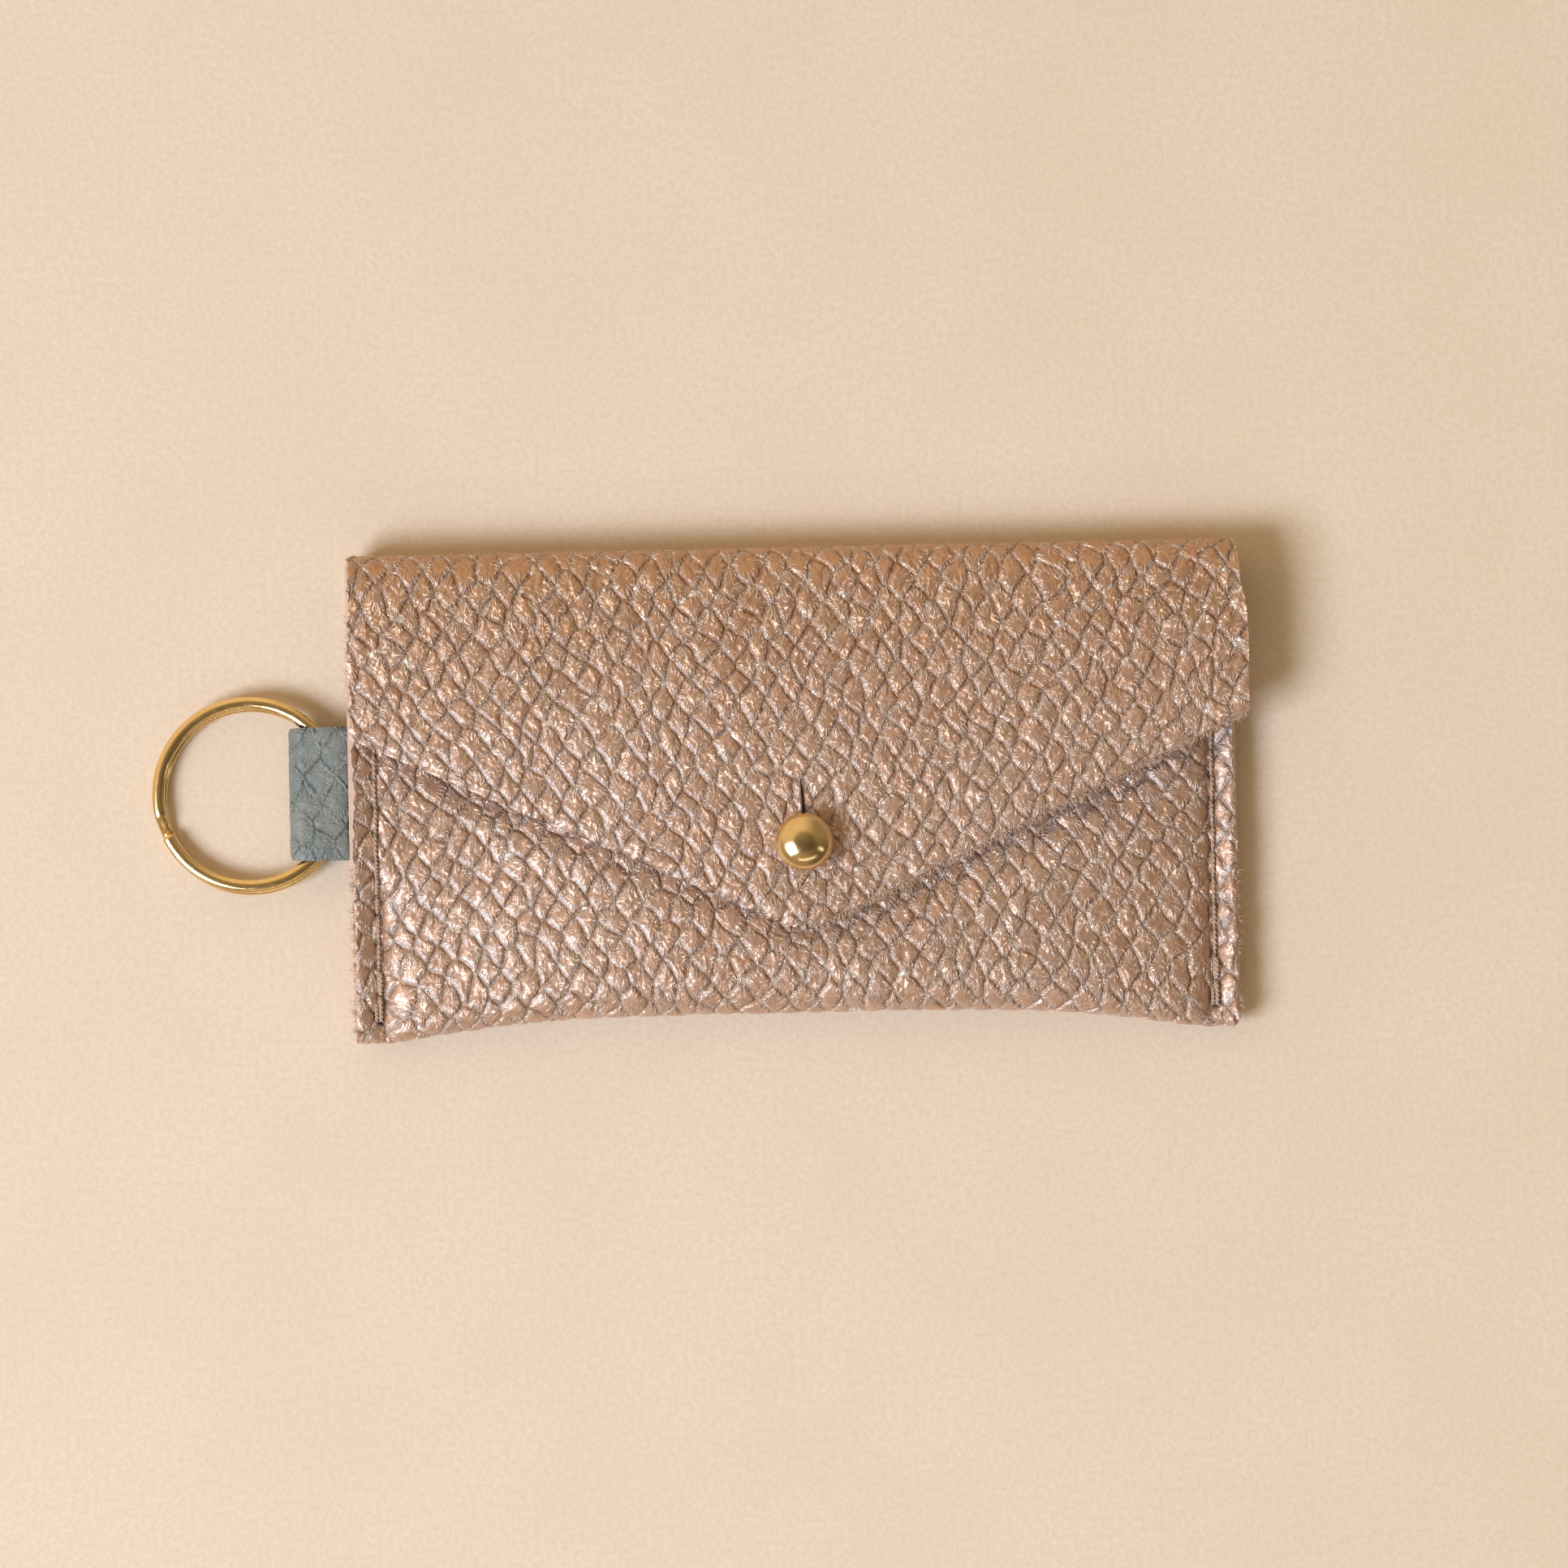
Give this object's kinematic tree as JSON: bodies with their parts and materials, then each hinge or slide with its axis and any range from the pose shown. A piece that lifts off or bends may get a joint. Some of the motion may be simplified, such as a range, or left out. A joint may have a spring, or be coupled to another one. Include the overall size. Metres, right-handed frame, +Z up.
{
  "type": "keyring card holder",
  "caption": "Flat leather card pocket with a pointed flap on a ball stud, stitched sides and a strap that holds a split ring.",
  "frame": {"origin": "on the underside that the holder rests on, in the middle of the pocket", "axes": "+X along the length, away from the key ring; +Y towards the top fold; +Z up, out of the flap"},
  "size_m": [0.1391, 0.0618, 0.0142],
  "materials": {
    "pearl_leather": "pebbled taupe leather with a pearl sheen",
    "strap_leather": "soft blue-grey leather with a large grain",
    "gold_plate": "gold-plated spring wire, polished",
    "stud_brass": "polished brass",
    "thread": "twisted taupe thread"
  },
  "bodies": {
    "pouch": {"pouch_leather": "pearl_leather", "stud_post": "stud_brass", "stud_screw": "stud_brass", "left_seam_needle_thread": "thread", "left_seam_bobbin_thread": "thread", "right_seam_needle_thread": "thread", "right_seam_bobbin_thread": "thread"},
    "fold_lower": {"flap_fold_lower": "pearl_leather"},
    "fold_upper": {"flap_fold_upper": "pearl_leather"},
    "flap": {"flap": "pearl_leather", "flap_buttonhole": "pearl_leather"},
    "key_loop": {"key_loop": "strap_leather"},
    "key_ring": {"split_ring": "gold_plate"}
  },
  "joints": [
    {"name": "fold_lower_bend", "type": "hinge", "parent": "pouch", "child": "fold_lower", "pos_m": [0, 0.02846, 0.00065], "axis": [-1, 0, 0], "range_deg": [0, 57.5]},
    {"name": "fold_upper_bend", "type": "hinge", "parent": "fold_lower", "child": "fold_upper", "pos_m": [0, 0.0309, 0.00487], "axis": [-1, 0, 0], "range_deg": [0, 57.5]},
    {"name": "flap_open", "type": "hinge", "parent": "fold_upper", "child": "flap", "pos_m": [0, 0.02846, 0.0091], "axis": [-1, 0, 0], "range_deg": [0, 57.5], "deforming": ["flap_buttonhole"]},
    {"name": "key_loop_swing", "type": "hinge", "parent": "pouch", "child": "key_loop", "pos_m": [-0.0573, 0.0009, 0.00335], "axis": [0, 1, 0], "range_deg": [-75, 80], "deforming": ["key_loop"]},
    {"name": "key_ring_spin", "type": "hinge", "parent": "key_loop", "child": "key_ring", "pos_m": [-0.06885, 0.0009, 0.00224], "axis": [-0.0956, 0, 0.9954], "continuous": true}
  ],
  "couplings": [
    {"joint": "fold_lower_bend", "follows": "flap_open", "ratio": 1},
    {"joint": "fold_upper_bend", "follows": "flap_open", "ratio": 1}
  ]
}
